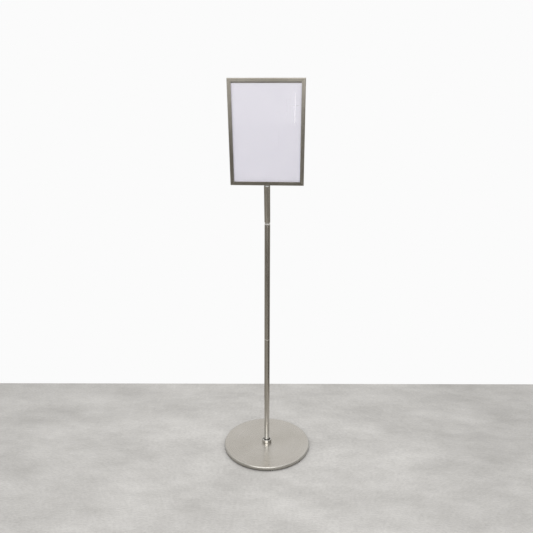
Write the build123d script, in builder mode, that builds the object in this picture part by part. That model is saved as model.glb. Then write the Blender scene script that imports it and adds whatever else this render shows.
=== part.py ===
import os
from math import cos, radians, sin

from build123d import *

os.makedirs("parts", exist_ok=True)

# Driving dimensions, all in millimetres and degrees

# Foot
base_radius = 150.0
base_height = 15.3
cover_sheet = 1.2
cover_edge_radius = 3.6
cover_rim_radius = 2.0
cover_rim_gap = 2.4
cover_rim_width = 6.0
weight_side_clearance = 0.3
pad_side_clearance = 2.0

# Bolt that holds the pole on the foot
bolt_radius = 4.0
bolt_hole_clearance = 0.3
thread_clearance = 0.05
bolt_length = 30.0
bolt_head_height = 5.3
bolt_head_across_flats = 13.0
bolt_point_chamfer = 0.8
washer_radius = 9.0
washer_thickness = 1.6
bolt_recess_radius = 11.0
bolt_recess_depth = 7.2

# Collar round the pole's foot
collar_radius = 16.5
collar_height = 11.5
collar_floor = 3.5
collar_recess_radius = 12.3
collar_rim_radius = 1.2
collar_foot_chamfer = 0.6

# Pole
tube_radius = 9.0
tube_wall = 1.5
tube_end_chamfer = 0.4
lower_tube_length = 389.7
middle_tube_length = 390.5
plug_clearance = 0.05
plug_length = 26.0
plug_chamfer = 0.8
tap_depth = 24.0
stud_radius = 4.0
stud_length = 40.0
stud_chamfer = 0.8
joint_ring_height = 2.5
joint_ring_chamfer = 0.6

# Tilting joint
lean = 10.0
fork_ring_height = 5.5
fork_ring_land = 2.7
fork_ring_top_radius = 7.6
fork_spigot_length = 22.0
ball_radius = 7.3
ball_centre_above_ring = 1.0
ball_flat_half_width = 6.2
tongue_thickness = 3.0
tongue_half_width = 4.0
tongue_end_radius = 4.2
tilt_washer_thickness = 0.5
tilt_washer_radius = 3.9
tilt_side_clearance = 0.1
tilt_pocket_clearance = 0.6
ball_seat_clearance = 0.5
tilt_screw_radius = 2.0
tilt_screw_clearance = 0.05
tilt_head_radius = 3.2
tilt_head_height = 2.4
tilt_head_edge = 0.6
tilt_head_recess_clearance = 0.4
tilt_driver_slot_width = 0.9
tilt_driver_slot_depth = 0.8
tilt_nut_cap = 0.7

# Neck
neck_start = 3.8
neck_length = 121.2
neck_bottom_radius = 9.2
neck_top_radius = 9.6
neck_wall = 1.5
neck_end_chamfer = 0.4
neck_bevel_height = 2.5
neck_bevel_face_radius = 7.7
neck_plug_length = 16.0

# Frame and what it holds
bar_face = 11.5
top_bar_face = 9.5
bar_wall = 1.5
bar_corner_radius = 1.2
rear_lip = 9.0
back_panel_thickness = 1.2
panel_top_step = 0.8
menu_width = 210.0
menu_height = 297.0
menu_thickness = 0.3
clear_sheet_thickness = 3.0
clear_sheet_side_margin = 5.5
clear_sheet_top_margin = 2.0
clear_sheet_corner = 1.5
sheet_clearance = 0.3
sheet_side_clearance = 0.5
frame_above_clear_sheet = 12.2

# Heights and radii that follow from the sizes above
weight_bottom = cover_rim_gap + cover_sheet
weight_top = base_height - cover_sheet
weight_radius = base_radius - cover_sheet - weight_side_clearance
weight_edge_radius = cover_edge_radius - cover_sheet + weight_side_clearance
weight_foot_chamfer = cover_rim_radius - cover_sheet
cover_lip_radius = base_radius - cover_rim_width
pad_radius = cover_lip_radius - pad_side_clearance
bolt_hole_radius = bolt_radius + bolt_hole_clearance
bolt_under_head = weight_bottom + bolt_recess_depth - washer_thickness
collar_top = base_height + collar_height
lower_tube_bottom = base_height + collar_floor
lower_tube_top = lower_tube_bottom + lower_tube_length
middle_tube_bottom = lower_tube_top + joint_ring_height
middle_tube_top = middle_tube_bottom + middle_tube_length
tube_bore_radius = tube_radius - tube_wall
plug_radius = tube_bore_radius - plug_clearance
stud_bottom = (lower_tube_top + middle_tube_bottom - stud_length) / 2
joint_ring_hole_radius = stud_radius + bolt_hole_clearance
fork_ring_top = middle_tube_top + fork_ring_height
pivot_height = fork_ring_top + ball_centre_above_ring
slot_half_width = tongue_thickness / 2 + tilt_side_clearance + tilt_washer_thickness
pocket_reach = tongue_end_radius + tilt_pocket_clearance
tilt_recess_radius = tilt_head_radius + tilt_head_recess_clearance

# The neck and the frame are drawn on planes that lean with them about the pivot
lean_up = Vector(0, -sin(radians(lean)), cos(radians(lean)))
lean_front = Vector(0, -cos(radians(lean)), -sin(radians(lean)))
pivot = Vector(0, 0, pivot_height)
neck_axis = Axis(origin=pivot, direction=lean_up)
neck_profile_plane = Plane(origin=pivot, x_dir=(1, 0, 0), z_dir=lean_front)
tilt_plane = Plane(origin=pivot, x_dir=lean_up, z_dir=(1, 0, 0))
neck_end = neck_start + neck_length
neck_tube_end = neck_end - neck_bevel_height
frame_plane = Plane(origin=pivot + lean_up * neck_end, x_dir=(1, 0, 0), z_dir=lean_front)

# The frame is made round the clear sheet, and the clear sheet round the menu
clear_sheet_width = menu_width + 2 * clear_sheet_side_margin
clear_sheet_height = menu_height + clear_sheet_top_margin
sheet_foot = bar_wall + sheet_clearance
frame_width = clear_sheet_width + 2 * (bar_wall + sheet_side_clearance)
frame_height = sheet_foot + clear_sheet_height + frame_above_clear_sheet
panel_bottom = sheet_foot
panel_top = frame_height - panel_top_step

# The stack in the channels, measured forwards from the middle of the frame's depth
channel_gap = (
    sheet_clearance + clear_sheet_thickness + menu_thickness + sheet_clearance + back_panel_thickness
)
channel_half_gap = channel_gap / 2
frame_half_depth = channel_half_gap + bar_wall
menu_back = -channel_half_gap + back_panel_thickness + sheet_clearance
clear_sheet_back = menu_back + menu_thickness
top_rear_lip = rear_lip * top_bar_face / bar_face


# Base pad, a rubber disc with a hole for the spanner
with BuildPart() as base_pad:
    with BuildSketch(Plane.XY):
        Circle(pad_radius)
        Circle(bolt_recess_radius, mode=Mode.SUBTRACT)
    extrude(amount=weight_bottom)
base_pad.part.label = "base_pad"
export_step(base_pad.part, "parts/base_pad.step")


# Base weight, a cast disc with its bolt hole and a recess for the bolt's head
with BuildPart() as base_weight:
    with BuildSketch(Plane.XY.offset(weight_bottom)):
        Circle(weight_radius)
    extrude(amount=weight_top - weight_bottom)
    fillet(base_weight.edges().group_by(Axis.Z)[-1], radius=weight_edge_radius)
    chamfer(base_weight.edges().group_by(Axis.Z)[0], length=weight_foot_chamfer)
    with Locations(Location((0, 0, weight_bottom), (180, 0, 0))):
        CounterBoreHole(bolt_hole_radius, bolt_recess_radius, bolt_recess_depth)
base_weight.part.label = "base_weight"
export_step(base_weight.part, "parts/base_weight.step")


# Base cover, one spun sheet: flat top, rounded edge, upright wall and a rim turned in under the weight
with BuildPart() as base_cover:
    with BuildSketch(Plane.XZ):
        with BuildLine():
            outside = FilletPolyline(
                (bolt_hole_radius, base_height),
                (base_radius, base_height),
                (base_radius, cover_rim_gap),
                (cover_lip_radius, cover_rim_gap),
                radius=[cover_edge_radius, cover_rim_radius],
            )
            inside = FilletPolyline(
                (bolt_hole_radius, weight_top),
                (base_radius - cover_sheet, weight_top),
                (base_radius - cover_sheet, weight_bottom),
                (cover_lip_radius, weight_bottom),
                radius=[cover_edge_radius - cover_sheet, cover_rim_radius - cover_sheet],
            )
            Line(outside @ 0, inside @ 0)
            Line(outside @ 1, inside @ 1)
        make_face()
    revolve(axis=Axis.Z)
base_cover.part.label = "base_cover"
export_step(base_cover.part, "parts/base_cover.step")


# Base washer
with BuildPart() as base_washer:
    with BuildSketch(Plane.XY.offset(bolt_under_head)):
        Circle(washer_radius)
        Circle(bolt_hole_radius, mode=Mode.SUBTRACT)
    extrude(amount=washer_thickness)
base_washer.part.label = "base_washer"
export_step(base_washer.part, "parts/base_washer.step")


# Base bolt, a hexagon bolt that stands head down in the weight
with BuildPart() as base_bolt:
    with BuildSketch(Plane.XY.offset(bolt_under_head - bolt_head_height)):
        RegularPolygon(bolt_head_across_flats / 2, 6, major_radius=False)
    extrude(amount=bolt_head_height)
    with BuildSketch(Plane.XY.offset(bolt_under_head)):
        Circle(bolt_radius)
    extrude(amount=bolt_length)
    chamfer(base_bolt.edges().sort_by(Axis.Z)[-1], length=bolt_point_chamfer)
base_bolt.part.label = "base_bolt"
export_step(base_bolt.part, "parts/base_bolt.step")


# Base collar, a turned cup that the pole stands in, with a rounded rim
with BuildPart() as base_collar:
    with BuildSketch(Plane.XY.offset(base_height)):
        Circle(collar_radius)
    extrude(amount=collar_height)
    chamfer(base_collar.edges().group_by(Axis.Z)[0], length=collar_foot_chamfer)
    with Locations((0, 0, collar_top)):
        CounterBoreHole(bolt_hole_radius, collar_recess_radius, collar_height - collar_floor)
    fillet(base_collar.edges().group_by(Axis.Z)[-1], radius=collar_rim_radius)
base_collar.part.label = "base_collar"
export_step(base_collar.part, "parts/base_collar.step")


# The round section of a tube
def ring_sketch(height, outer_radius, inner_radius):
    with BuildSketch(Plane.XY.offset(height)) as ring:
        Circle(outer_radius)
        Circle(inner_radius, mode=Mode.SUBTRACT)
    return ring.sketch


# Half section of a tapped plug, which is brazed into the end of a tube, flush with its mouth
def tapped_plug_profile(mouth, inwards, hole_radius):
    tap_end = mouth + inwards * tap_depth
    blind_end = mouth + inwards * plug_length
    with BuildSketch(Plane.XZ) as profile:
        with BuildLine():
            Polyline(
                (hole_radius, mouth),
                (plug_radius, mouth),
                (plug_radius, blind_end - inwards * plug_chamfer),
                (plug_radius - plug_chamfer, blind_end),
                (0, blind_end),
                (0, tap_end),
                (hole_radius, tap_end),
                (hole_radius, mouth),
            )
        make_face()
    return profile.sketch


# Lower tube, with its outer ends broken
with BuildPart() as lower_tube:
    extrude(ring_sketch(lower_tube_bottom, tube_radius, tube_bore_radius), amount=lower_tube_length)
    outer_ends = lower_tube.edges().filter_by(GeomType.CIRCLE).group_by(SortBy.RADIUS)[-1]
    chamfer(outer_ends, length=tube_end_chamfer)
lower_tube.part.label = "lower_tube"
export_step(lower_tube.part, "parts/lower_tube.step")


# Lower tube foot plug, which the base bolt screws into
with BuildPart() as lower_tube_foot_plug:
    revolve(tapped_plug_profile(lower_tube_bottom, 1, bolt_radius + thread_clearance), axis=Axis.Z)
lower_tube_foot_plug.part.label = "lower_tube_foot_plug"
export_step(lower_tube_foot_plug.part, "parts/lower_tube_foot_plug.step")


# Lower tube top plug
with BuildPart() as lower_tube_top_plug:
    revolve(tapped_plug_profile(lower_tube_top, -1, stud_radius + thread_clearance), axis=Axis.Z)
lower_tube_top_plug.part.label = "lower_tube_top_plug"
export_step(lower_tube_top_plug.part, "parts/lower_tube_top_plug.step")


# Joint stud, which screws the two pole sections together
with BuildPart() as joint_stud:
    with BuildSketch(Plane.XY.offset(stud_bottom)):
        Circle(stud_radius)
    extrude(amount=stud_length)
    chamfer(joint_stud.edges().filter_by(GeomType.CIRCLE), length=stud_chamfer)
joint_stud.part.label = "joint_stud"
export_step(joint_stud.part, "parts/joint_stud.step")


# Joint ring, a thin bright washer between the pole sections
with BuildPart() as joint_ring:
    extrude(ring_sketch(lower_tube_top, tube_radius, joint_ring_hole_radius), amount=joint_ring_height)
    rims = joint_ring.edges().filter_by(GeomType.CIRCLE).group_by(SortBy.RADIUS)[-1]
    chamfer(rims, length=joint_ring_chamfer)
joint_ring.part.label = "joint_ring"
export_step(joint_ring.part, "parts/joint_ring.step")


# Middle tube, with its outer ends broken
with BuildPart() as middle_tube:
    extrude(ring_sketch(middle_tube_bottom, tube_radius, tube_bore_radius), amount=middle_tube_length)
    outer_ends = middle_tube.edges().filter_by(GeomType.CIRCLE).group_by(SortBy.RADIUS)[-1]
    chamfer(outer_ends, length=tube_end_chamfer)
middle_tube.part.label = "middle_tube"
export_step(middle_tube.part, "parts/middle_tube.step")


# Middle tube foot plug
with BuildPart() as middle_tube_foot_plug:
    revolve(tapped_plug_profile(middle_tube_bottom, 1, stud_radius + thread_clearance), axis=Axis.Z)
middle_tube_foot_plug.part.label = "middle_tube_foot_plug"
export_step(middle_tube_foot_plug.part, "parts/middle_tube_foot_plug.step")


# Tilt fork, turned in one piece: spigot, ring with a long bevel, and a ball that is slotted for the tongue
with BuildPart() as tilt_fork:
    with BuildSketch(Plane.XZ):
        with BuildLine():
            Polyline(
                (0, fork_ring_top),
                (0, middle_tube_top - fork_spigot_length),
                (plug_radius - plug_chamfer, middle_tube_top - fork_spigot_length),
                (plug_radius, middle_tube_top - fork_spigot_length + plug_chamfer),
                (plug_radius, middle_tube_top),
                (tube_radius, middle_tube_top),
                (tube_radius, middle_tube_top + fork_ring_land),
                (fork_ring_top_radius, fork_ring_top),
                (0, fork_ring_top),
            )
        make_face()
    revolve(axis=Axis.Z)
    with Locations(pivot):
        Sphere(ball_radius)
    with BuildSketch(Plane.XZ.offset(-tube_radius)):
        with Locations((0, pivot_height)):
            with Locations((0, (ball_radius - ball_centre_above_ring) / 2)):
                Rectangle(2 * slot_half_width, ball_radius + ball_centre_above_ring)
    extrude(amount=2 * tube_radius, mode=Mode.SUBTRACT)
    with BuildSketch(Plane.XZ.offset(-pocket_reach)):
        with Locations((0, pivot_height)):
            Rectangle(2 * slot_half_width, 2 * pocket_reach)
    extrude(amount=2 * pocket_reach, mode=Mode.SUBTRACT)
    for side in (1, -1):
        with BuildSketch(Plane.YZ.offset(side * ball_flat_half_width)):
            with Locations((0, pivot_height)):
                Circle(tilt_recess_radius)
        extrude(amount=side * tube_radius, mode=Mode.SUBTRACT)
    with BuildSketch(Plane.YZ):
        with Locations((0, pivot_height)):
            Circle(tilt_screw_radius + tilt_screw_clearance)
    extrude(amount=tube_radius, both=True, mode=Mode.SUBTRACT)
tilt_fork.part.label = "tilt_fork"
export_step(tilt_fork.part, "parts/tilt_fork.step")


# Tilt screw, with a slotted round head on the right and its end in the nut on the left
with BuildPart() as tilt_screw:
    with BuildSketch(Plane.YZ.offset(ball_flat_half_width)):
        with Locations((0, pivot_height)):
            Circle(tilt_head_radius)
    extrude(amount=tilt_head_height)
    fillet(tilt_screw.edges().group_by(Axis.X)[-1], radius=tilt_head_edge)
    with BuildSketch(Plane.YZ.offset(ball_flat_half_width)):
        with Locations((0, pivot_height)):
            Circle(tilt_screw_radius)
    extrude(amount=-2 * ball_flat_half_width - tilt_head_height + 2 * tilt_nut_cap)
    with BuildSketch(Plane.YZ.offset(ball_flat_half_width + tilt_head_height)):
        with Locations((0, pivot_height)):
            Rectangle(2 * tilt_head_radius, tilt_driver_slot_width)
    extrude(amount=-tilt_driver_slot_depth, mode=Mode.SUBTRACT)
tilt_screw.part.label = "tilt_screw"
export_step(tilt_screw.part, "parts/tilt_screw.step")


# Tilt nut, a round cap nut
with BuildPart() as tilt_nut:
    with BuildSketch(Plane.YZ.offset(-ball_flat_half_width)):
        with Locations((0, pivot_height)):
            Circle(tilt_head_radius)
    extrude(amount=-tilt_head_height)
    fillet(tilt_nut.edges().group_by(Axis.X)[0], radius=tilt_head_edge)
    with BuildSketch(Plane.YZ.offset(-ball_flat_half_width)):
        with Locations((0, pivot_height)):
            Circle(tilt_screw_radius + thread_clearance)
    extrude(amount=-tilt_head_height + tilt_nut_cap, mode=Mode.SUBTRACT)
tilt_nut.part.label = "tilt_nut"
export_step(tilt_nut.part, "parts/tilt_nut.step")


# Tilt washers, one each side of the tongue
with BuildPart() as tilt_washers:
    for side in (1, -1):
        with BuildSketch(Plane.YZ.offset(side * slot_half_width)):
            with Locations((0, pivot_height)):
                Circle(tilt_washer_radius)
                Circle(tilt_screw_radius + tilt_screw_clearance, mode=Mode.SUBTRACT)
        extrude(amount=-side * tilt_washer_thickness)
tilt_washers.part.label = "tilt_washers"
export_step(tilt_washers.part, "parts/tilt_washers.step")


# Tilt tongue, a plug for the neck with a hollow end that clears the ball and a tongue that enters its slot
with BuildPart() as tilt_tongue:
    with BuildSketch(neck_profile_plane):
        with BuildLine():
            Polyline(
                (0, neck_start),
                (neck_bottom_radius - neck_wall - plug_clearance, neck_start),
                (neck_bottom_radius - neck_wall - plug_clearance, neck_start + neck_plug_length),
                (0, neck_start + neck_plug_length),
                (0, neck_start),
            )
        make_face()
    revolve(axis=neck_axis)
    with Locations(pivot):
        Sphere(ball_radius + ball_seat_clearance, mode=Mode.SUBTRACT)
    with BuildSketch(tilt_plane.offset(-tongue_thickness / 2)):
        Circle(tongue_end_radius)
        with Locations((neck_start, 0)):
            Rectangle(2 * neck_start, 2 * tongue_half_width)
        with Locations((ball_radius, 0)):
            Rectangle(ball_radius, 2 * tongue_half_width)
        Circle(tilt_screw_radius + tilt_screw_clearance, mode=Mode.SUBTRACT)
    extrude(amount=tongue_thickness)
tilt_tongue.part.label = "tilt_tongue"
export_step(tilt_tongue.part, "parts/tilt_tongue.step")


# Neck tube, drawn slightly wider towards the frame
with BuildPart() as neck_tube:
    with BuildSketch(neck_profile_plane):
        with BuildLine():
            Polyline(
                (neck_bottom_radius - neck_wall, neck_start),
                (neck_bottom_radius - neck_end_chamfer, neck_start),
                (neck_bottom_radius, neck_start + neck_end_chamfer),
                (neck_top_radius, neck_tube_end),
                (neck_top_radius - neck_wall, neck_tube_end),
                (neck_bottom_radius - neck_wall, neck_start),
            )
        make_face()
    revolve(axis=neck_axis)
neck_tube.part.label = "neck_tube"
export_step(neck_tube.part, "parts/neck_tube.step")


# Neck top plug, bevelled where it meets the frame
with BuildPart() as neck_top_plug:
    with BuildSketch(neck_profile_plane):
        with BuildLine():
            Polyline(
                (0, neck_tube_end - neck_plug_length),
                (neck_bottom_radius - neck_wall, neck_tube_end - neck_plug_length),
                (neck_top_radius - neck_wall - plug_clearance, neck_tube_end),
                (neck_top_radius, neck_tube_end),
                (neck_bevel_face_radius, neck_end),
                (0, neck_end),
                (0, neck_tube_end - neck_plug_length),
            )
        make_face()
    revolve(axis=neck_axis)
neck_top_plug.part.label = "neck_top_plug"
export_step(neck_top_plug.part, "parts/neck_top_plug.step")


# A bar's section is drawn across the bar from its outer side (x) and forwards from mid depth (y)
def bar_plane(corner_x, corner_up, across):
    corner = frame_plane.from_local_coords(Vector(corner_x, corner_up, 0))
    return Plane(origin=corner, x_dir=across, z_dir=across.cross(lean_front))


# Flat front of a bar, with a rounded outer corner
def draw_front(face):
    RadiusArc(
        (0, frame_half_depth - bar_corner_radius), (bar_corner_radius, frame_half_depth), bar_corner_radius
    )
    Polyline((bar_corner_radius, frame_half_depth), (face, frame_half_depth), (face, channel_half_gap))


# Flat back of a bar, with the same rounded outer corner
def draw_flat_back(lip):
    Polyline((lip, -channel_half_gap), (lip, -frame_half_depth), (bar_corner_radius, -frame_half_depth))
    RadiusArc(
        (bar_corner_radius, -frame_half_depth), (0, bar_corner_radius - frame_half_depth), bar_corner_radius
    )


# Folded channel section of the side and bottom bars
def channel_sketch(plane):
    with BuildSketch(plane) as section:
        with BuildLine():
            draw_front(bar_face)
            Polyline(
                (bar_face, channel_half_gap),
                (bar_wall, channel_half_gap),
                (bar_wall, -channel_half_gap),
                (rear_lip, -channel_half_gap),
            )
            draw_flat_back(rear_lip)
            Line((0, bar_corner_radius - frame_half_depth), (0, frame_half_depth - bar_corner_radius))
        make_face()
    return section.sketch


# Mitre from an outer corner of the frame to the inner one, facing the side that is kept
def mitre_plane(side, at_top, keep_side_bar):
    outer = Vector(side * frame_width / 2, frame_height if at_top else 0, 0)
    drop = -top_bar_face if at_top else bar_face
    diagonal = Vector(-side * bar_face, drop, 0)
    normal = diagonal.cross(Vector(0, 0, 1))
    towards_side_bar = Vector(0, -1 if at_top else 1, 0)
    if (normal.dot(towards_side_bar) < 0) == keep_side_bar:
        normal = -normal
    origin = frame_plane.from_local_coords(outer)
    facing = frame_plane.from_local_coords(normal) - frame_plane.origin
    return Plane(origin=origin, x_dir=lean_front, z_dir=facing)


# Frame left bar
with BuildPart() as frame_left_bar:
    extrude(channel_sketch(bar_plane(-frame_width / 2, frame_height, Vector(1, 0, 0))), amount=frame_height)
    for at_top in (False, True):
        split(bisect_by=mitre_plane(-1, at_top, True))
frame_left_bar.part.label = "frame_left_bar"
export_step(frame_left_bar.part, "parts/frame_left_bar.step")


# Frame right bar
with BuildPart() as frame_right_bar:
    extrude(channel_sketch(bar_plane(frame_width / 2, 0, Vector(-1, 0, 0))), amount=frame_height)
    for at_top in (False, True):
        split(bisect_by=mitre_plane(1, at_top, True))
frame_right_bar.part.label = "frame_right_bar"
export_step(frame_right_bar.part, "parts/frame_right_bar.step")


# Frame bottom bar, soldered to the neck's plug
with BuildPart() as frame_bottom_bar:
    extrude(channel_sketch(bar_plane(-frame_width / 2, 0, lean_up)), amount=frame_width)
    for side in (-1, 1):
        split(bisect_by=mitre_plane(side, False, False))
frame_bottom_bar.part.label = "frame_bottom_bar"
export_step(frame_bottom_bar.part, "parts/frame_bottom_bar.step")


# Frame top front bar, a strip in front of the loading slot
with BuildPart() as frame_top_front_bar:
    with BuildSketch(bar_plane(frame_width / 2, frame_height, -lean_up)):
        with BuildLine():
            draw_front(top_bar_face)
            Polyline(
                (top_bar_face, channel_half_gap),
                (0, channel_half_gap),
                (0, frame_half_depth - bar_corner_radius),
            )
        make_face()
    extrude(amount=frame_width)
    for side in (-1, 1):
        split(bisect_by=mitre_plane(side, True, False))
frame_top_front_bar.part.label = "frame_top_front_bar"
export_step(frame_top_front_bar.part, "parts/frame_top_front_bar.step")


# Frame top rear bar, a flat strip behind the loading slot
with BuildPart() as frame_top_rear_bar:
    with BuildSketch(bar_plane(frame_width / 2, frame_height, -lean_up)):
        with BuildLine():
            draw_flat_back(top_rear_lip)
            Polyline(
                (0, bar_corner_radius - frame_half_depth),
                (0, -channel_half_gap),
                (top_rear_lip, -channel_half_gap),
            )
        make_face()
    extrude(amount=frame_width)
    for side in (-1, 1):
        split(bisect_by=mitre_plane(side, True, False))
frame_top_rear_bar.part.label = "frame_top_rear_bar"
export_step(frame_top_rear_bar.part, "parts/frame_top_rear_bar.step")


# Back panel, a sheet that is spot-welded to the rear lips
with BuildPart() as back_panel:
    with BuildSketch(frame_plane.offset(-channel_half_gap)):
        with Locations((0, (panel_bottom + panel_top) / 2)):
            Rectangle(frame_width - 2 * sheet_foot, panel_top - panel_bottom)
    extrude(amount=back_panel_thickness)
back_panel.part.label = "back_panel"
export_step(back_panel.part, "parts/back_panel.step")


# Menu sheet, plain paper behind the clear sheet
with BuildPart() as menu_sheet:
    with BuildSketch(frame_plane.offset(menu_back)):
        with Locations((0, sheet_foot + menu_height / 2)):
            Rectangle(menu_width, menu_height)
    extrude(amount=menu_thickness)
menu_sheet.part.label = "menu_sheet"
export_step(menu_sheet.part, "parts/menu_sheet.step")


# Clear sheet, with its corners taken off
with BuildPart() as clear_sheet:
    with BuildSketch(frame_plane.offset(clear_sheet_back)):
        with Locations((0, sheet_foot + clear_sheet_height / 2)):
            RectangleRounded(clear_sheet_width, clear_sheet_height, clear_sheet_corner)
    extrude(amount=clear_sheet_thickness)
clear_sheet.part.label = "clear_sheet"
export_step(clear_sheet.part, "parts/clear_sheet.step")
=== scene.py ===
import math

import bmesh
import bpy
from mathutils import Matrix, Vector, noise


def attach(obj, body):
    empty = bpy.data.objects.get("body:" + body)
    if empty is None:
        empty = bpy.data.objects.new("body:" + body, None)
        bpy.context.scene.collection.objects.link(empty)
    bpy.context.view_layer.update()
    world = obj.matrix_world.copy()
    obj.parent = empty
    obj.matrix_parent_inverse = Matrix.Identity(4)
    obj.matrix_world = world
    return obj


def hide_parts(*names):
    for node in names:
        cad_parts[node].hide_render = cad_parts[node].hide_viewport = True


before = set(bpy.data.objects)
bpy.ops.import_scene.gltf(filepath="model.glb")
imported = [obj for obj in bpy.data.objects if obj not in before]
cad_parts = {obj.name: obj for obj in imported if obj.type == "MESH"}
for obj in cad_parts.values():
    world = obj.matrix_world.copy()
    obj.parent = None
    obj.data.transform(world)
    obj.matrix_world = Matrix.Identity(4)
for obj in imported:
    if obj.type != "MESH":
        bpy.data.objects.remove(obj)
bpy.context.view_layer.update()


# Camera
# It stands in front of the menu at chest height, a little to the right, and looks slightly down,
# as in the photograph.
camera_heading = math.radians(3.559)
camera_pitch = math.radians(15.734)
camera_roll = math.radians(0.124)
camera_place = Vector((0.10082, -1.66121, 1.13391))
camera_data = bpy.data.cameras.new("camera")
camera_data.sensor_width = 36.0
camera_data.lens = 35.917
camera = bpy.data.objects.new("camera", camera_data)
camera.matrix_world = (
    Matrix.Translation(camera_place)
    @ Matrix.Rotation(camera_heading, 4, "Z")
    @ Matrix.Rotation(math.pi / 2 - camera_pitch, 4, "X")
    @ Matrix.Rotation(camera_roll, 4, "Z")
)
bpy.context.collection.objects.link(camera)
bpy.context.scene.camera = camera
bpy.context.scene.view_settings.view_transform = "Standard"


# Room
# A white room as the stand sees it. The wall behind it and the ceiling are bright, the side that the
# camera stands on is dim, and the floor further off is dim too, most of all straight in front.
def shade_step(tree, kind, inputs, **settings):
    step = tree.nodes.new("ShaderNode" + kind)
    for setting, choice in settings.items():
        setattr(step, setting, choice)
    for socket, source in inputs.items():
        if isinstance(source, bpy.types.NodeSocket):
            tree.links.new(source, step.inputs[socket])
        else:
            step.inputs[socket].default_value = source
    return step.outputs


def shade_ramp(tree, amount, *stops):
    step = tree.nodes.new("ShaderNodeValToRGB")
    tree.links.new(amount, step.inputs["Fac"])
    marks = step.color_ramp.elements
    while len(marks) < len(stops):
        marks.new(1.0)
    for mark, (position, colour) in zip(marks, stops):
        mark.position = position
        mark.color = (*colour, 1.0)
    return step.outputs["Color"]


def shade_range(tree, amount, low, high, to_low=0.0, to_high=1.0):
    ends = {"Value": amount, "From Min": low, "From Max": high, "To Min": to_low, "To Max": to_high}
    return shade_step(tree, "MapRange", ends)["Result"]


def shade_mix(tree, amount, first, second):
    sides = {"Factor": amount, "A": first, "B": second}
    return shade_step(tree, "Mix", sides, data_type="RGBA")["Result"]


def shade_multiply(tree, first, second):
    sides = {"Factor": 1.0, "A": first, "B": second}
    return shade_step(tree, "Mix", sides, data_type="RGBA", blend_type="MULTIPLY")["Result"]


ceiling_white = (0.92, 0.905, 0.885, 1.0)
backdrop_white = (0.965, 0.965, 0.965, 1.0)
room = bpy.data.worlds.new("room")
bpy.context.scene.world = room
room.use_nodes = True
room_tree = room.node_tree
room_tree.nodes.clear()
room_direction = shade_step(room_tree, "TexCoord", {})["Generated"]
room_axes = shade_step(room_tree, "SeparateXYZ", {"Vector": room_direction})
towards_back = shade_range(room_tree, room_axes["Y"], -1.0, 1.0)
height = room_axes["Z"]
walls = shade_ramp(
    room_tree,
    towards_back,
    (0.0, (0.26, 0.24, 0.21)),
    (0.35, (0.34, 0.32, 0.29)),
    (0.65, (0.62, 0.61, 0.58)),
    (1.0, (0.84, 0.83, 0.82)),
)
left_dimming = shade_ramp(
    room_tree,
    shade_range(room_tree, room_axes["X"], -0.7, 0.1),
    (0.0, (0.88, 0.875, 0.87)),
    (1.0, (1.0, 1.0, 1.0)),
)
near_floor = shade_ramp(
    room_tree,
    shade_range(room_tree, height, -1.0, 0.0),
    (0.3, (0.56, 0.54, 0.50)),
    (0.55, (0.53, 0.51, 0.465)),
    (0.72, (0.33, 0.32, 0.30)),
    (0.84, (0.21, 0.20, 0.185)),
    (1.0, (0.17, 0.155, 0.135)),
)
side_floor = shade_ramp(
    room_tree,
    shade_range(room_tree, height, -0.8, 0.0),
    (0.0, (0.38, 0.36, 0.32)),
    (1.0, (0.25, 0.235, 0.21)),
)
room_floor = shade_mix(room_tree, shade_range(room_tree, towards_back, 0.25, 0.55), near_floor, side_floor)
lower_room = shade_mix(room_tree, shade_range(room_tree, height, -0.02, 0.16), room_floor, walls)
overhead = shade_range(room_tree, height, 0.25, 0.9)
lit_room = shade_mix(room_tree, overhead, lower_room, ceiling_white)
whole_room = shade_multiply(room_tree, lit_room, left_dimming)
in_view = shade_step(room_tree, "LightPath", {})["Is Camera Ray"]
room_colour = shade_mix(room_tree, in_view, whole_room, backdrop_white)
room_light = shade_step(room_tree, "Background", {"Color": room_colour})["Background"]
shade_step(room_tree, "OutputWorld", {"Surface": room_light})


# Floor
# Pale smooth screed with a faint cloudiness. Its far edge is where the white wall begins. Its colour is
# painted a little darker away from the stand, a painted fall-off of the light.
def shade_place(tree, lean=0.0, stretch=(1.0, 1.0, 1.0)):
    place = shade_step(tree, "TexCoord", {})["Object"]
    if lean:
        turn = {"Vector": place, "Rotation": (lean, 0.0, 0.0)}
        place = shade_step(tree, "Mapping", turn, vector_type="TEXTURE")["Vector"]
    return shade_step(tree, "Mapping", {"Vector": place, "Scale": stretch})["Vector"]


def shade_noise(tree, place, scale=1.0, detail=4.0, roughness=0.55):
    grain = {"Vector": place, "Scale": scale, "Detail": detail, "Roughness": roughness}
    return shade_step(tree, "TexNoise", grain)["Fac"]


def new_finish(name, **constants):
    finish = bpy.data.materials.new(name)
    finish.use_nodes = True
    shader = finish.node_tree.nodes["Principled BSDF"]
    for socket, number in constants.items():
        shader.inputs[socket.replace("_", " ")].default_value = number
    return finish


def lay_on(finish, **looks):
    tree = finish.node_tree
    shader = tree.nodes["Principled BSDF"]
    for socket, source in looks.items():
        tree.links.new(source, shader.inputs[socket.replace("_", " ")])


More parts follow.
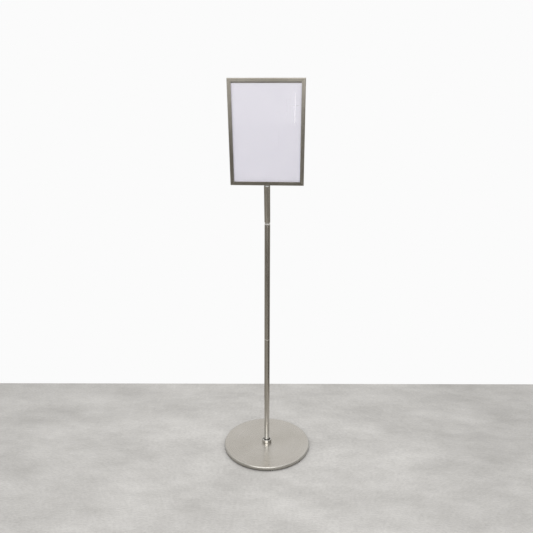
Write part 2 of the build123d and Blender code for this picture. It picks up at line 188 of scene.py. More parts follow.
floor_front, floor_back, floor_width = -1.15, 0.4535, 5.0
floor_form = bmesh.new()
bmesh.ops.create_grid(floor_form, x_segments=1, y_segments=1, size=0.5)
bmesh.ops.scale(floor_form, vec=(floor_width, floor_back - floor_front, 1), verts=floor_form.verts)
bmesh.ops.translate(floor_form, vec=(0, (floor_front + floor_back) / 2, 0), verts=floor_form.verts)
bmesh.ops.rotate(floor_form, matrix=Matrix.Rotation(camera_heading, 3, "Z"), verts=floor_form.verts)
floor_mesh = bpy.data.meshes.new("floor")
floor_form.to_mesh(floor_mesh)
floor_form.free()
screed = new_finish("screed", Roughness=0.85)
screed_tree = screed.node_tree
screed_cloud = shade_noise(screed_tree, shade_place(screed_tree, stretch=(1.5, 3.2, 1.0)), 2.0, 9.0, 0.70)
screed_tone = shade_ramp(
    screed_tree, screed_cloud, (0.32, (0.525, 0.520, 0.512)), (0.68, (0.745, 0.741, 0.734))
)
sand_place = shade_place(screed_tree, stretch=(95.0, 210.0, 1.0))
screed_sand = shade_noise(screed_tree, sand_place, detail=2.0, roughness=0.8)
sand_tone = shade_ramp(screed_tree, screed_sand, (0.34, (0.86, 0.86, 0.86)), (0.62, (1.0, 1.0, 1.0)))
screed_grained = shade_multiply(screed_tree, screed_tone, sand_tone)
screed_place = shade_place(screed_tree)
screed_reach = shade_step(screed_tree, "VectorMath", {0: screed_place}, operation="LENGTH")["Value"]
# Painted fall-off of light: the screed's colour is darker further from the stand.
painted_falloff_tone = shade_ramp(
    screed_tree,
    shade_range(screed_tree, screed_reach, 0.0, 1.0),
    (0.15, (1.0, 1.0, 1.0)),
    (0.9, (0.88, 0.88, 0.88)),
)
lay_on(screed, Base_Color=shade_multiply(screed_tree, screed_grained, painted_falloff_tone))
floor_mesh.materials.append(screed)
floor = bpy.data.objects.new("floor", floor_mesh)
floor.visible_glossy = False
bpy.context.collection.objects.link(floor)


# Soft lights
# A long low softbox stands behind the camera, and a higher one lights the paper from the front and a
# little from the left. One more hangs overhead, and one stands far out on each side.
def softbox(name, place, aim, width, height, strength):
    lamp = bpy.data.lights.new(name, "AREA")
    lamp.shape = "RECTANGLE"
    lamp.size = width
    lamp.size_y = height
    lamp.energy = strength * width * height * math.pi
    lamp.color = (1.0, 0.99, 0.97)
    holder = bpy.data.objects.new(name, lamp)
    holder.location = place
    holder.rotation_euler = (Vector(aim) - Vector(place)).to_track_quat("-Z", "Y").to_euler()
    holder.visible_camera = False
    bpy.context.collection.objects.link(holder)


softbox("softbox_low", (-0.1, -2.3, 0.94), (-0.1, 0, 0.94), width=3.2, height=0.78, strength=0.78)
softbox("softbox_front_top", (-0.3, -2.6, 2.05), (0, 0, 0.8), width=3.0, height=1.4, strength=2.3)
softbox("softbox_overhead", (0, -0.4, 3.0), (0, 0, 0.3), width=2.4, height=2.0, strength=0.6)
softbox("softbox_far_left", (-2.6, -0.6, 1.6), (0, 0, 0.8), width=1.2, height=1.8, strength=0.3)
softbox("softbox_far_right", (2.6, -0.6, 1.6), (0, 0, 0.8), width=1.2, height=1.8, strength=0.2)


# Dark cards
# Matt cards that only the steel sees. One lies on the floor in front of the stand and keeps the frame's
# lower bars and the neck dark. A narrow one on the floor and one that stands low on the right draw the
# dark line down the neck and the pole.
def dark_card(name, width, depth, place, glow):
    form = bmesh.new()
    bmesh.ops.create_grid(form, x_segments=1, y_segments=1, size=0.5)
    bmesh.ops.scale(form, vec=(width, depth, 1), verts=form.verts)
    form.transform(place)
    mesh = bpy.data.meshes.new(name)
    form.to_mesh(mesh)
    form.free()
    matt = new_finish(
        name,
        Base_Color=(0.0, 0.0, 0.0, 1.0),
        Specular_IOR_Level=0.0,
        Emission_Color=(1.0, 0.93, 0.83, 1.0),
        Emission_Strength=glow,
    )
    mesh.materials.append(matt)
    card = bpy.data.objects.new(name, mesh)
    card.visible_camera = card.visible_diffuse = card.visible_shadow = False
    bpy.context.collection.objects.link(card)


floor_card_place = Matrix.Translation((0, -2.25, 0.001))
dark_card("floor_card", width=4.0, depth=1.5, place=floor_card_place, glow=0.11)
side_card_place = (
    Matrix.Rotation(math.radians(76), 4, "Z")
    @ Matrix.Translation((0, -0.73, 0.19))
    @ Matrix.Rotation(math.radians(-28.6), 4, "X")
)
dark_card("side_card", width=1.0, depth=0.752, place=side_card_place, glow=0.13)
neck_card_place = Matrix.Rotation(math.radians(22), 4, "Z") @ Matrix.Translation((0, -1.9, 0.003))
dark_card("neck_card", width=0.42, depth=1.1, place=neck_card_place, glow=0.0)


# Floor by the foot
# The same screed close round the foot, for the steel alone, so that the foot's upright wall mirrors the
# floor and its own shadow.
patch_radius, patch_lift = 0.32, 0.0002
patch_form = bmesh.new()
bmesh.ops.create_circle(patch_form, cap_ends=True, segments=96, radius=patch_radius)
bmesh.ops.translate(patch_form, vec=(0, 0, patch_lift), verts=patch_form.verts)
patch_mesh = bpy.data.meshes.new("floor_by_foot")
patch_form.to_mesh(patch_mesh)
patch_form.free()
patch_mesh.materials.append(screed)
floor_patch = bpy.data.objects.new("floor_by_foot", patch_mesh)
floor_patch.visible_camera = floor_patch.visible_diffuse = floor_patch.visible_shadow = False
bpy.context.collection.objects.link(floor_patch)


# Foot pad
# A black rubber disc glued under the weight. It is smaller than the foot, so that the rim stands
# over a thin shadow, and it has a hole in the middle for the spanner.
def shade_bump(tree, relief, strength, depth):
    bump = {"Height": relief, "Strength": strength, "Distance": depth}
    return shade_step(tree, "Bump", bump)["Normal"]


def finish_nodes(finish, *names):
    for name in names:
        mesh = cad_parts[name].data
        mesh.materials.clear()
        mesh.materials.append(finish)


black_rubber = new_finish("black_rubber", Specular_IOR_Level=0.35)
rubber_tree = black_rubber.node_tree
rubber_speckle = shade_noise(rubber_tree, shade_place(rubber_tree), 900.0, 2.0)
rubber_dust = shade_noise(rubber_tree, shade_place(rubber_tree), 22.0, 5.0)
lay_on(
    black_rubber,
    Base_Color=shade_ramp(
        rubber_tree, rubber_dust, (0.35, (0.028, 0.028, 0.029)), (0.75, (0.085, 0.082, 0.078))
    ),
    Roughness=shade_range(rubber_tree, rubber_dust, 0.3, 0.7, 0.72, 0.9),
    Normal=shade_bump(rubber_tree, rubber_speckle, 0.5, 0.0002),
)
finish_nodes(black_rubber, "base_pad")


# Foot weight
# A disc of cast iron inside the foot, left as it came from the sand, with a bolt hole through it.
cast_iron = new_finish("cast_iron", Metallic=0.7)
iron_tree = cast_iron.node_tree
iron_sand = shade_noise(iron_tree, shade_place(iron_tree), 420.0, 4.0, 0.7)
iron_rust = shade_noise(iron_tree, shade_place(iron_tree), 30.0, 6.0, 0.65)
lay_on(
    cast_iron,
    Base_Color=shade_ramp(
        iron_tree,
        iron_rust,
        (0.4, (0.115, 0.115, 0.12)),
        (0.62, (0.16, 0.15, 0.145)),
        (0.75, (0.20, 0.13, 0.09)),
    ),
    Roughness=shade_range(iron_tree, iron_sand, 0.3, 0.7, 0.62, 0.85),
    Normal=shade_bump(iron_tree, iron_sand, 0.8, 0.0005),
)
finish_nodes(cast_iron, "base_weight")


# Foot cover
# One disc of stainless steel, spun over the weight: a flat top, a rounded edge, an upright wall and a
# rim turned in underneath. It was brushed on the lathe, and its edge is a little dented. Its colour is
# painted brighter on the rounded edge, partly rubbed wear and partly a painted highlight, and darker
# down the upright wall to the rim, partly grime and partly painted shade for the gap under the foot
# and the floor that the wall mirrors.
def shade_math(tree, operation, *terms):
    return shade_step(tree, "Math", dict(enumerate(terms)), operation=operation)["Value"]


def turned(outline, steps=96):
    form = bmesh.new()
    corners = [form.verts.new((radius, 0, height)) for radius, height, _ in outline]
    solid_core = outline[0][0] == outline[-1][0] == 0
    for first, second in zip(corners, corners[1:] + ([] if solid_core else corners[:1])):
        form.edges.new((first, second))
    for corner, (_, _, rounding) in zip(corners, outline):
        if rounding:
            bmesh.ops.bevel(
                form, geom=[corner], offset=rounding, segments=6, profile=0.5, affect="VERTICES", material=-1
            )
    bmesh.ops.spin(
        form,
        geom=form.verts[:] + form.edges[:],
        cent=(0, 0, 0),
        axis=(0, 0, 1),
        angle=2 * math.pi,
        steps=steps,
        use_merge=True,
    )
    bmesh.ops.remove_doubles(form, verts=form.verts, dist=1e-6)
    bmesh.ops.recalc_face_normals(form, faces=form.faces)
    return form


def new_piece(name, form, *finishes):
    sharp_from = math.radians(32)
    for face in form.faces:
        face.smooth = True
    for edge in form.edges:
        edge.smooth = edge.calc_face_angle(0.0) < sharp_from
    mesh = bpy.data.meshes.new(name)
    form.to_mesh(mesh)
    form.free()
    for finish in finishes:
        mesh.materials.append(finish)
    piece = bpy.data.objects.new(name, mesh)
    even = piece.modifiers.new("even_shading", "WEIGHTED_NORMAL")
    even.keep_sharp = True
    bpy.context.collection.objects.link(piece)
    return piece


foot_radius, foot_height, cover_sheet = 0.150, 0.0153, 0.0012
top_edge, rim_edge = 0.0036, 0.0020
rim_gap, lip_radius, bolt_hole = 0.0024, 0.144, 0.0043
edge_start, edge_end = 0.1462, 0.1480
cover_form = turned(
    [
        (bolt_hole, foot_height, 0),
        (foot_radius, foot_height, top_edge),
        (foot_radius, rim_gap, rim_edge),
        (lip_radius, rim_gap, 0),
        (lip_radius, rim_gap + cover_sheet, 0),
        (foot_radius - cover_sheet, rim_gap + cover_sheet, rim_edge - cover_sheet),
        (foot_radius - cover_sheet, foot_height - cover_sheet, top_edge - cover_sheet),
        (bolt_hole, foot_height - cover_sheet, 0),
    ],
    steps=240,
)
dent_depth, dent_foot, dents_per_metre, nicks_per_metre = 0.00022, 0.004, 28, 90
for vertex in cover_form.verts:
    outward = Vector((vertex.co.x, vertex.co.y, 0))
    if outward.length > edge_start and vertex.co.z > dent_foot:
        dent = max(0.0, noise.noise(outward * dents_per_metre) - 0.12)
        nick = max(0.0, noise.noise(outward * nicks_per_metre))
        knock = dent + 0.35 * nick
        vertex.co -= outward.normalized() * knock * dent_depth
        if vertex.co.z > foot_height - top_edge:
            vertex.co.z -= knock * dent_depth
spun_steel = new_finish("spun_steel", Metallic=1.0, Anisotropic=0.5, Anisotropic_Rotation=0.25)
spun_tree = spun_steel.node_tree
spun_place = shade_place(spun_tree)
spun_flat = shade_place(spun_tree, stretch=(1.0, 1.0, 0.0))
spun_radius = shade_step(spun_tree, "VectorMath", {0: spun_flat}, operation="LENGTH")["Value"]
spun_compass = shade_step(spun_tree, "VectorMath", {0: spun_flat}, operation="NORMALIZE")["Vector"]
spun_axes = shade_step(spun_tree, "SeparateXYZ", {"Vector": spun_compass})


def spun_rings(closeness, detail):
    rings = {
        "X": shade_math(spun_tree, "MULTIPLY", spun_radius, closeness),
        "Y": spun_axes["X"],
        "Z": spun_axes["Y"],
    }
    return shade_noise(spun_tree, shade_step(spun_tree, "CombineXYZ", rings)["Vector"], detail=detail)


fine_rings = spun_rings(1500.0, 3.0)
broad_rings = spun_rings(130.0, 2.0)
spun_bloom = shade_noise(spun_tree, spun_place, 9.0, 4.0, 0.5)
spun_fingers = shade_noise(spun_tree, spun_place, 46.0, 5.0, 0.7)
spun_tone = shade_ramp(spun_tree, spun_bloom, (0.34, (0.545, 0.522, 0.480)), (0.66, (0.605, 0.583, 0.545)))
ring_tone = shade_ramp(spun_tree, broad_rings, (0.3, (0.96, 0.96, 0.96)), (0.7, (1.0, 1.0, 1.0)))
spun_ringed = shade_multiply(spun_tree, spun_tone, ring_tone)
spun_height = shade_step(spun_tree, "SeparateXYZ", {"Vector": spun_place})["Z"]
spun_edge = shade_range(spun_tree, spun_radius, edge_start, edge_end)
# Painted light on the rim: dark towards the turned-in lower edge for the shade there, bright near the top of
# the rounded edge for a highlight, each partly wear.
rim_wear_and_painted_light = shade_ramp(
    spun_tree,
    shade_range(spun_tree, spun_height, rim_gap, foot_height + 0.0001),
    (0.02, (0.07, 0.065, 0.06)),
    (0.16, (0.20, 0.19, 0.17)),
    (0.34, (0.40, 0.385, 0.35)),
    (0.68, (0.46, 0.445, 0.41)),
    (0.80, (0.62, 0.61, 0.575)),
    (1.0, (0.60, 0.59, 0.555)),
)
ring_gloss = shade_range(spun_tree, fine_rings, 0.3, 0.7, 0.25, 0.31)
finger_haze = shade_range(spun_tree, spun_fingers, 0.55, 0.75, 0.0, 0.07)
spun_grain = {0: (0.0, 0.0, 1.0), 1: spun_flat}
lay_on(
    spun_steel,
    Base_Color=shade_mix(spun_tree, spun_edge, spun_ringed, rim_wear_and_painted_light),
    Roughness=shade_math(spun_tree, "ADD", ring_gloss, finger_haze),
    Normal=shade_bump(spun_tree, fine_rings, 0.02, 0.0003),
    Tangent=shade_step(spun_tree, "VectorMath", spun_grain, operation="CROSS_PRODUCT")["Vector"],
)
foot_cover = new_piece("foot_cover", cover_form, spun_steel)
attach(foot_cover, "stand")
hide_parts("base_cover")


# Foot bolt and hidden fixings
# A hexagon bolt and its washer draw the pole down on the foot. Turned plugs brazed into the tubes take
# this bolt and the stud between the pole's two sections.
def turned_steel(name, light, dark, gloss, lean=0.0, relief=0.05, tarnish_and_reflection_patches=(60.0, 0.35, 0.65)):
    finish = new_finish(name, Metallic=1.0)
    tree = finish.node_tree
    rings = shade_noise(tree, shade_place(tree, lean, (4.0, 4.0, 2600.0)), detail=3.0)
    patch_size, patch_start, patch_end = tarnish_and_reflection_patches
    # Patches in the colour: tarnish, and on the collar also painted reflections.
    tarnish_and_painted_reflection = shade_noise(tree, shade_place(tree, lean), patch_size, 5.0, 0.6)
    turned_gloss = shade_range(tree, rings, 0.3, 0.7, *gloss)
    film_haze = shade_range(tree, tarnish_and_painted_reflection, 0.5, 0.8, 0.0, 0.08)
    lay_on(
        finish,
        Base_Color=shade_ramp(tree, tarnish_and_painted_reflection, (patch_start, dark), (patch_end, light)),
        Roughness=shade_math(tree, "ADD", turned_gloss, film_haze),
        Normal=shade_bump(tree, rings, relief, 0.0002),
    )
    return finish


plain_steel = turned_steel("plain_steel", (0.56, 0.555, 0.545), (0.47, 0.465, 0.45), (0.28, 0.42))
finish_nodes(
    plain_steel,
    "base_washer",
    "base_bolt",
    "lower_tube_foot_plug",
    "lower_tube_top_plug",
    "joint_stud",
    "middle_tube_foot_plug",
)


# Collar
# A small cup of turned steel on the foot, which the pole stands in and the foot's bolt holds. It is
# polished, with a rounded rim, and the gap round the pole's foot shows as a dark ring inside it. Its
# colour has strong dark patches, partly tarnish and partly painted reflections of the dark room round it.
polished_steel = turned_steel(
    "polished_steel", (0.82, 0.81, 0.79), (0.72, 0.705, 0.68), (0.07, 0.15), relief=0.02
)
# Painted reflection: the dark patches, down to 0.20, stand for the dark room mirrored in the collar, with
# some tarnish.
collar_steel_painted_reflections = turned_steel(
    "collar_steel_painted_reflections",
    (0.70, 0.69, 0.665),
    (0.20, 0.19, 0.17),
    (0.07, 0.15),
    relief=0.02,
    tarnish_and_reflection_patches=(75.0, 0.38, 0.52),
)
collar_radius, collar_top, collar_rim = 0.0165, 0.0268, 0.0012
cup_radius, cup_floor = 0.0123, 0.0188
collar = new_piece(
    "collar",
    turned(
        [
            (bolt_hole, foot_height, 0),
            (collar_radius, foot_height, 0.0006),
            (collar_radius, collar_top, collar_rim),
            (cup_radius, collar_top, collar_rim),
            (cup_radius, cup_floor, 0.0004),
            (bolt_hole, cup_floor, 0),
        ]
    ),
    collar_steel_painted_reflections,
)
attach(collar, "stand")
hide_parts("base_collar")


# Pole
# Two sections of drawn stainless tube, brushed along their length to a satin finish, with their ends
# slightly rounded. Handling has left faint streaks and a warm grey bloom.
def drawn_steel(name, light, dark, lean=0.0, along="Z", gloss=(0.22, 0.34), sheen_painted_below=0.0, streak=0.75):
    finish = new_finish(name, Metallic=1.0)
    tree = finish.node_tree

    def stretched(across, down):
        return shade_place(tree, lean, tuple(down if axis == along else across for axis in "XYZ"))

    brushing = shade_noise(tree, stretched(1500.0, 8.0), detail=3.0, roughness=0.6)
    streaks = shade_noise(tree, stretched(230.0, 1.6), detail=3.0)
    bloom = shade_noise(tree, stretched(16.0, 9.0), detail=6.0, roughness=0.6)
    specks = shade_noise(tree, stretched(520.0, 380.0), detail=1.0)
    tone = shade_ramp(tree, bloom, (0.32, dark), (0.68, light))
    streak_dark = (streak, streak * 0.987, streak * 0.967)
    streak_tone = shade_ramp(tree, streaks, (0.36, streak_dark), (0.62, (1.0, 1.0, 1.0)))
    speck_tone = shade_ramp(tree, specks, (0.72, (1.0, 1.0, 1.0)), (0.80, (0.80, 0.77, 0.72)))
    wear_and_painted_sheen = shade_multiply(tree, shade_multiply(tree, tone, streak_tone), speck_tone)
    # Painted sheen: below the given height the colour fades to a lighter grey, a painted reflection.
    if sheen_painted_below:
        height = shade_step(tree, "SeparateXYZ", {"Vector": shade_place(tree)})["Z"]
        painted_sheen = shade_range(tree, height, sheen_painted_below, sheen_painted_below * 0.25)
        wear_and_painted_sheen = shade_mix(tree, painted_sheen, wear_and_painted_sheen, (0.66, 0.665, 0.66, 1.0))
    brushed_gloss = shade_range(tree, brushing, 0.3, 0.7, *gloss)
    bloom_haze = shade_range(tree, bloom, 0.5, 0.8, 0.0, 0.08)
    lay_on(
        finish,
        Base_Color=wear_and_painted_sheen,
        Roughness=shade_math(tree, "ADD", brushed_gloss, bloom_haze),
        Normal=shade_bump(tree, brushing, 0.07, 0.0004),
    )
    return finish


tube_radius, tube_bore, tube_edge = 0.009, 0.0075, 0.0004
joint_foot, joint_top, pole_top = 0.4085, 0.4110, 0.8015
# Below 13 cm the pole's colour is painted lighter: a painted reflection of the bright foot.
pole_steel = drawn_steel("pole_steel", (0.63, 0.60, 0.55), (0.55, 0.52, 0.47), sheen_painted_below=0.13)
for section, foot, top in (("lower_tube", cup_floor, joint_foot), ("middle_tube", joint_top, pole_top)):
    tube_outline = [
        (tube_bore, foot, 0),
        (tube_radius, foot, tube_edge),
        (tube_radius, top, tube_edge),
        (tube_bore, top, 0),
    ]
    tube = new_piece("pole_" + section, turned(tube_outline, steps=64), pole_steel)
    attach(tube, "stand")
    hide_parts(section)


# Joint ring
# A thin ring of polished steel, slipped over the stud and pinched between the two sections of the pole.
# It shows as a bright line.
stud_hole, ring_edge = 0.0043, 0.0006
ring_outline = [
    (stud_hole, joint_foot, 0),
    (tube_radius, joint_foot, ring_edge),
    (tube_radius, joint_top, ring_edge),
    (stud_hole, joint_top, 0),
]
joint_ring = new_piece("pole_joint_ring", turned(ring_outline, steps=64), polished_steel)
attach(joint_ring, "stand")
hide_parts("joint_ring")


# Tilting joint
# A polished steel fork with a slotted ball closes the pole. A cross screw with a round head and a round
# nut squeezes two thin washers on the neck's tongue, so that the frame stays at the lean it is set to.
lean = math.radians(10)
tongue_steel = turned_steel("tongue_steel", (0.56, 0.57, 0.58), (0.47, 0.475, 0.48), (0.22, 0.34), lean)
finish_nodes(polished_steel, "tilt_fork", "tilt_screw", "tilt_nut")
finish_nodes(plain_steel, "tilt_washers")
finish_nodes(tongue_steel, "tilt_tongue")


# Neck
# A short steel tube, a little wider at the top, that leans forwards with the frame. It has the pole's
# satin finish, and a plain turned plug with a bevelled end closes it where it meets the frame.
pivot_height = 0.808
neck_foot, neck_top, neck_end = 0.0038, 0.1225, 0.1250
neck_foot_radius, neck_top_radius, neck_wall = 0.0092, 0.0096, 0.0015
neck_place = Matrix.Translation((0, 0, pivot_height)) @ Matrix.Rotation(lean, 4, "X")
neck_form = turned(
    [
        (neck_foot_radius - neck_wall, neck_foot, 0),
        (neck_foot_radius, neck_foot, 0.0004),
        (neck_top_radius, neck_top, 0),
        (neck_top_radius - neck_wall, neck_top, 0),
    ],
    steps=64,
)
neck_form.transform(neck_place)
neck_steel = drawn_steel("neck_steel", (0.64, 0.61, 0.56), (0.56, 0.53, 0.48), lean)
neck = new_piece("neck", neck_form, neck_steel)
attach(neck, "frame")
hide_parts("neck_tube")

plug_foot, plug_foot_radius, plug_top_radius, bevel_radius = 0.1065, 0.0077, 0.00805, 0.0077
neck_plug_form = turned(
    [
        (0, plug_foot, 0),
        (plug_foot_radius, plug_foot, 0.0006),
        (plug_top_radius, neck_top, 0),
        (neck_top_radius, neck_top, 0.0002),
        (bevel_radius, neck_end, 0),
        (0, neck_end, 0),
    ],
    steps=64,
)
neck_plug_form.transform(neck_place)
neck_plug = new_piece("neck_plug", neck_plug_form, tongue_steel)
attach(neck_plug, "frame")
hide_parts("neck_top_plug")


# Frame bars
# Channels folded from stainless strip, flat in front, with rounded outer corners. They are brushed along
# their length before they are mitred, so the brushing turns at each corner, and the mitres are soldered
# and show as fine lines. The top has a strip on each side of the loading slot.
frame_width, frame_height, frame_foot = 0.225, 0.313, neck_end
bar_face, top_bar_face, bar_wall = 0.0115, 0.0095, 0.0015
gap_half, depth_half = 0.00255, 0.00405
outer_rounding, face_edge, strip_edge, mitre_edge = 0.0012, 0.0004, 0.0002, 0.00016
frame_place = Matrix.Translation((0, 0, pivot_height)) @ Matrix(
    (
        (1, 0, 0, 0),
        (0, -math.sin(lean), -math.cos(lean), -math.sin(lean) * frame_foot),
        (0, math.cos(lean), -math.sin(lean), math.cos(lean) * frame_foot),
        (0, 0, 0, 1),
    )
)


def bar_form(section, length):
    form = bmesh.new()
    corners = [form.verts.new((across, 0, forward)) for across, forward, _ in section]
    form.faces.new(corners)
    for corner, (_, _, rounding) in zip(corners, section):
        if rounding:
            bmesh.ops.bevel(
                form, geom=[corner], offset=rounding, segments=5, profile=0.5, affect="VERTICES", material=-1
            )
    swept = bmesh.ops.extrude_face_region(form, geom=form.faces[:])["geom"]
    far_end = [item for item in swept if isinstance(item, bmesh.types.BMVert)]
    bmesh.ops.translate(form, vec=(0, length, 0), verts=far_end)
    return form


def mitred(form, *cuts):
    for point, outward in cuts:
        cut = bmesh.ops.bisect_plane(
            form,
            geom=form.verts[:] + form.edges[:] + form.faces[:],
            plane_co=(0, point, 0),
            plane_no=(*outward, 0),
            clear_outer=True,
        )["geom_cut"]
        rim = [item for item in cut if isinstance(item, bmesh.types.BMEdge)]
        bmesh.ops.edgeloop_fill(form, edges=rim)
        bmesh.ops.bevel(
            form, geom=rim, offset=mitre_edge, segments=1, profile=0.5, affect="EDGES", material=-1
        )
    return form


def framed(form, right, up, corner):
    forward = (0, 0, 1, 0)
    placing = Matrix((right, up, forward, (0, 0, 0, 1)))
    form.transform(frame_place @ Matrix.Translation((*corner, 0)) @ placing)
    bmesh.ops.recalc_face_normals(form, faces=form.faces)
    return form


def frame_piece(name, form, node, finish, body="frame"):
    piece = new_piece(name, form, finish)
    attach(piece, body)
    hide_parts(node)


rear_lip = 0.009
top_rear_lip = rear_lip * top_bar_face / bar_face
channel_section = [
    (0, depth_half, outer_rounding),
    (bar_face, depth_half, face_edge),
    (bar_face, gap_half, 0),
    (bar_wall, gap_half, 0),
    (bar_wall, -gap_half, 0),
    (rear_lip, -gap_half, 0),
    (rear_lip, -depth_half, strip_edge),
    (0, -depth_half, outer_rounding),
]
front_strip_section = [
    (0, depth_half, outer_rounding),
    (top_bar_face, depth_half, face_edge),
    (top_bar_face, gap_half, 0),
    (0, gap_half, strip_edge),
]
rear_strip_section = [
    (0, -gap_half, strip_edge),
    (top_rear_lip, -gap_half, 0),
    (top_rear_lip, -depth_half, strip_edge),
    (0, -depth_half, outer_rounding),
]
side_cuts = ((0, (1, -1)), (frame_height, (top_bar_face, bar_face)))
cross_cuts = ((0, (1, -1)), (frame_width, (1, 1)))
top_cuts = ((0, (bar_face, -top_bar_face)), (frame_width, (bar_face, top_bar_face)))
side_steel = drawn_steel("side_bar_steel", (0.61, 0.585, 0.535), (0.53, 0.505, 0.455), lean)
cross_steel = drawn_steel("cross_bar_steel", (0.58, 0.555, 0.505), (0.50, 0.475, 0.425), lean, along="X")
# The bottom bar's steel is a darker copy of the bars' steel: painted shade, for the dark floor it mirrors.
bottom_bar_shaded_steel = drawn_steel("bottom_bar_steel_painted_shade", (0.51, 0.485, 0.435), (0.44, 0.415, 0.37), lean, along="X")

left_bar = framed(
    mitred(bar_form(channel_section, frame_height), *side_cuts),
    (1, 0, 0, 0),
    (0, 1, 0, 0),
    (-frame_width / 2, 0),
)
frame_piece("frame_left", left_bar, "frame_left_bar", side_steel)
right_bar = framed(
    mitred(bar_form(channel_section, frame_height), *side_cuts),
    (-1, 0, 0, 0),
    (0, 1, 0, 0),
    (frame_width / 2, 0),
)
frame_piece("frame_right", right_bar, "frame_right_bar", side_steel)
bottom_bar = framed(
    mitred(bar_form(channel_section, frame_width), *cross_cuts),
    (0, 1, 0, 0),
    (1, 0, 0, 0),
    (-frame_width / 2, 0),
)
frame_piece("frame_bottom", bottom_bar, "frame_bottom_bar", bottom_bar_shaded_steel)
top_front = framed(
    mitred(bar_form(front_strip_section, frame_width), *top_cuts),
    (0, 1, 0, 0),
    (-1, 0, 0, 0),
    (-frame_width / 2, frame_height),
)
frame_piece("frame_top_front", top_front, "frame_top_front_bar", cross_steel)
top_rear = framed(
    mitred(bar_form(rear_strip_section, frame_width), *top_cuts),
    (0, 1, 0, 0),
    (-1, 0, 0, 0),
    (-frame_width / 2, frame_height),
)
frame_piece("frame_top_rear", top_rear, "frame_top_rear_bar", cross_steel)


# Back panel
# A sheet of stainless steel in the channels, spot-welded to the rear lips. Its rolled finish is duller
# than the bars, and its colour is painted dark, for the shade under the top bar, so that it shows as a
# dark band above the paper.
sheet_foot = 0.0018


def sheet_form(width, top, back, front, corner=0.0, edge=0.0):
    form = bmesh.new()
    bmesh.ops.create_cube(form, size=1.0)
    bmesh.ops.scale(form, vec=(width, top - sheet_foot, front - back), verts=form.verts)
    bmesh.ops.translate(form, vec=(0, (sheet_foot + top) / 2, (front + back) / 2), verts=form.verts)
    if corner:
        upright = [item for item in form.edges if abs(item.verts[0].co.z - item.verts[1].co.z) > 1e-5]
        bmesh.ops.bevel(
            form, geom=upright, offset=corner, segments=8, profile=0.5, affect="EDGES", material=-1
        )
    if edge:
        rims = [item for item in form.edges if abs(item.verts[0].co.z - item.verts[1].co.z) < 1e-6]
        bmesh.ops.bevel(form, geom=rims, offset=edge, segments=1, profile=0.5, affect="EDGES", material=-1)
    form.transform(frame_place)
    bmesh.ops.recalc_face_normals(form, faces=form.faces)
    return form


panel_form = sheet_form(width=0.2214, top=0.3122, back=-gap_half, front=-0.00135, edge=0.0001)
# Painted shade: the panel's colour is set to its shaded brightness.
panel_steel = drawn_steel(
    "panel_steel",
    (0.34, 0.33, 0.315),
    (0.275, 0.265, 0.25),
    lean,
    along="X",
    gloss=(0.34, 0.46),
    streak=0.92,
)
frame_piece("frame_back_panel", panel_form, "back_panel", panel_steel)


# Menu sheet
# One sheet of cool white paper behind the clear sheet. It is left blank, with the faint cloudiness of
# the paper's fibres and a very slight ripple. It glows very slightly, painted light that brightens it
# and lifts the shade next to the bars.
menu_form = sheet_form(width=0.210, top=0.2988, back=-0.00105, front=-0.00082)
menu_paper = new_finish(
    "menu_paper",
    Roughness=0.75,
    Specular_IOR_Level=0.3,
    # Painted light: a faint cool glow of the paper's own.
    Emission_Color=(0.70, 0.72, 1.0, 1.0),
    Emission_Strength=0.10,
)
paper_tree = menu_paper.node_tree
paper_cloud = shade_noise(paper_tree, shade_place(paper_tree, lean), 26.0, 6.0, 0.65)
paper_fibre = shade_noise(paper_tree, shade_place(paper_tree, lean, (700.0, 700.0, 260.0)), detail=3.0)
paper_ripple = shade_noise(paper_tree, shade_place(paper_tree, lean, (9.0, 1.0, 1.5)), detail=1.0)
paper_height = shade_math(paper_tree, "MULTIPLY_ADD", paper_fibre, 0.03, paper_ripple)
lay_on(
    menu_paper,
    Base_Color=shade_ramp(paper_tree, paper_cloud, (0.3, (0.865, 0.858, 0.935)), (0.7, (0.89, 0.885, 0.955))),
    Normal=shade_bump(paper_tree, paper_height, 0.4, 0.002),
)
frame_piece("menu_paper_sheet", menu_form, "menu_sheet", menu_paper, body="insert")


# Clear sheet
# Clear acrylic in front of the paper, with rounded corners and polished edges. Light glances off it
# more at a low angle, and sliding it in and out has left fine scratches and a little haze. The
# scratches glow faintly, a painted glint of the light they catch.
clear_form = sheet_form(
    width=0.221, top=0.3008, back=-0.00075, front=0.00225, corner=0.0015, edge=0.0002
)
clear_acrylic = new_finish(
    "clear_acrylic", Base_Color=(1.0, 1.0, 1.0, 1.0), Emission_Color=(0.94, 0.95, 1.0, 1.0)
)
acrylic_tree = clear_acrylic.node_tree
slant = shade_step(acrylic_tree, "LayerWeight", {"Blend": 0.5})["Facing"]
steepened = shade_math(acrylic_tree, "POWER", slant, 5.0)
glance = shade_range(acrylic_tree, steepened, 0.0, 1.0, 0.04, 1.0)
haze = shade_noise(acrylic_tree, shade_place(acrylic_tree, lean), 17.0, 6.0, 0.7)
fine_lines = shade_noise(acrylic_tree, shade_place(acrylic_tree, lean, (900.0, 900.0, 14.0)), detail=1.0)
line_patches = shade_noise(acrylic_tree, shade_place(acrylic_tree, lean), 21.0, 2.0)
wobble = shade_noise(acrylic_tree, shade_place(acrylic_tree, lean), 14.0, 2.0)
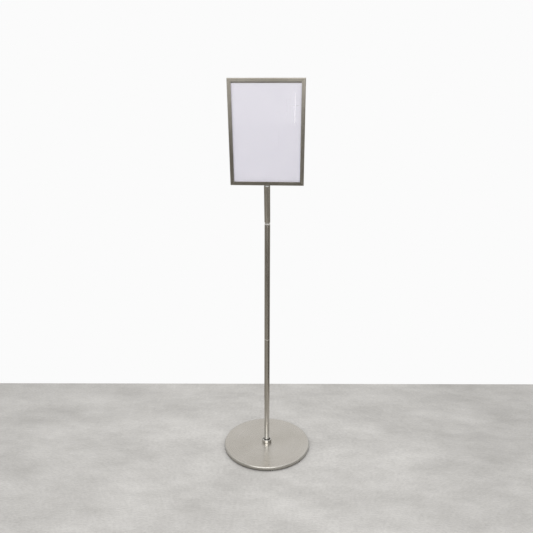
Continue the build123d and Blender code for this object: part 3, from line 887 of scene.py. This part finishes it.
sheet_axes = shade_step(acrylic_tree, "SeparateXYZ", {"Vector": shade_place(acrylic_tree, lean)})
sideways, upwards = sheet_axes["X"], sheet_axes["Z"]


def both(*masks):
    product = masks[0]
    for mask in masks[1:]:
        product = shade_math(acrylic_tree, "MULTIPLY", product, mask)
    return product


def scratch_and_glint_line(across, along, place, half_width, start, end, depth, fade=0.012):
    bend = shade_range(acrylic_tree, wobble, 0.0, 1.0, -0.002, 0.002)
    shifted = shade_math(acrylic_tree, "ADD", across, bend)
    offset = shade_math(acrylic_tree, "SUBTRACT", shifted, place)
    distance = shade_math(acrylic_tree, "ABSOLUTE", offset)
    return both(
        shade_range(acrylic_tree, distance, half_width, 0.0, 0.0, depth),
        shade_range(acrylic_tree, along, start, start + fade),
        shade_range(acrylic_tree, along, end, end - fade),
    )


foot_level = pivot_height * math.cos(lean) + frame_foot
marks = (
    both(
        shade_range(acrylic_tree, fine_lines, 0.70, 0.76, 0.0, 0.25),
        shade_range(acrylic_tree, line_patches, 0.52, 0.66),
    ),
    scratch_and_glint_line(
        sideways,
        upwards,
        place=0.0825,
        half_width=0.0016,
        start=foot_level + 0.180,
        end=foot_level + 0.278,
        depth=0.34,
    ),
    scratch_and_glint_line(
        upwards,
        sideways,
        place=foot_level + 0.237,
        half_width=0.0010,
        start=0.060,
        end=0.100,
        depth=0.20,
    ),
    scratch_and_glint_line(
        sideways,
        upwards,
        place=0.058,
        half_width=0.0010,
        start=foot_level + 0.190,
        end=foot_level + 0.262,
        depth=0.14,
    ),
)
scratches_and_glints = marks[0]
for mark in marks[1:]:
    scratches_and_glints = shade_math(acrylic_tree, "MAXIMUM", scratches_and_glints, mark)
lay_on(
    clear_acrylic,
    Metallic=shade_range(acrylic_tree, scratches_and_glints, 0.0, 0.15, 1.0, 0.0),
    # Painted glint: the scratches glow faintly.
    Emission_Strength=shade_range(acrylic_tree, scratches_and_glints, 0.0, 0.15, 0.0, 0.24),
    Alpha=shade_math(acrylic_tree, "MAXIMUM", glance, scratches_and_glints),
    Roughness=shade_range(acrylic_tree, haze, 0.3, 0.7, 0.03, 0.10),
)
frame_piece("clear_cover_sheet", clear_form, "clear_sheet", clear_acrylic, body="insert")
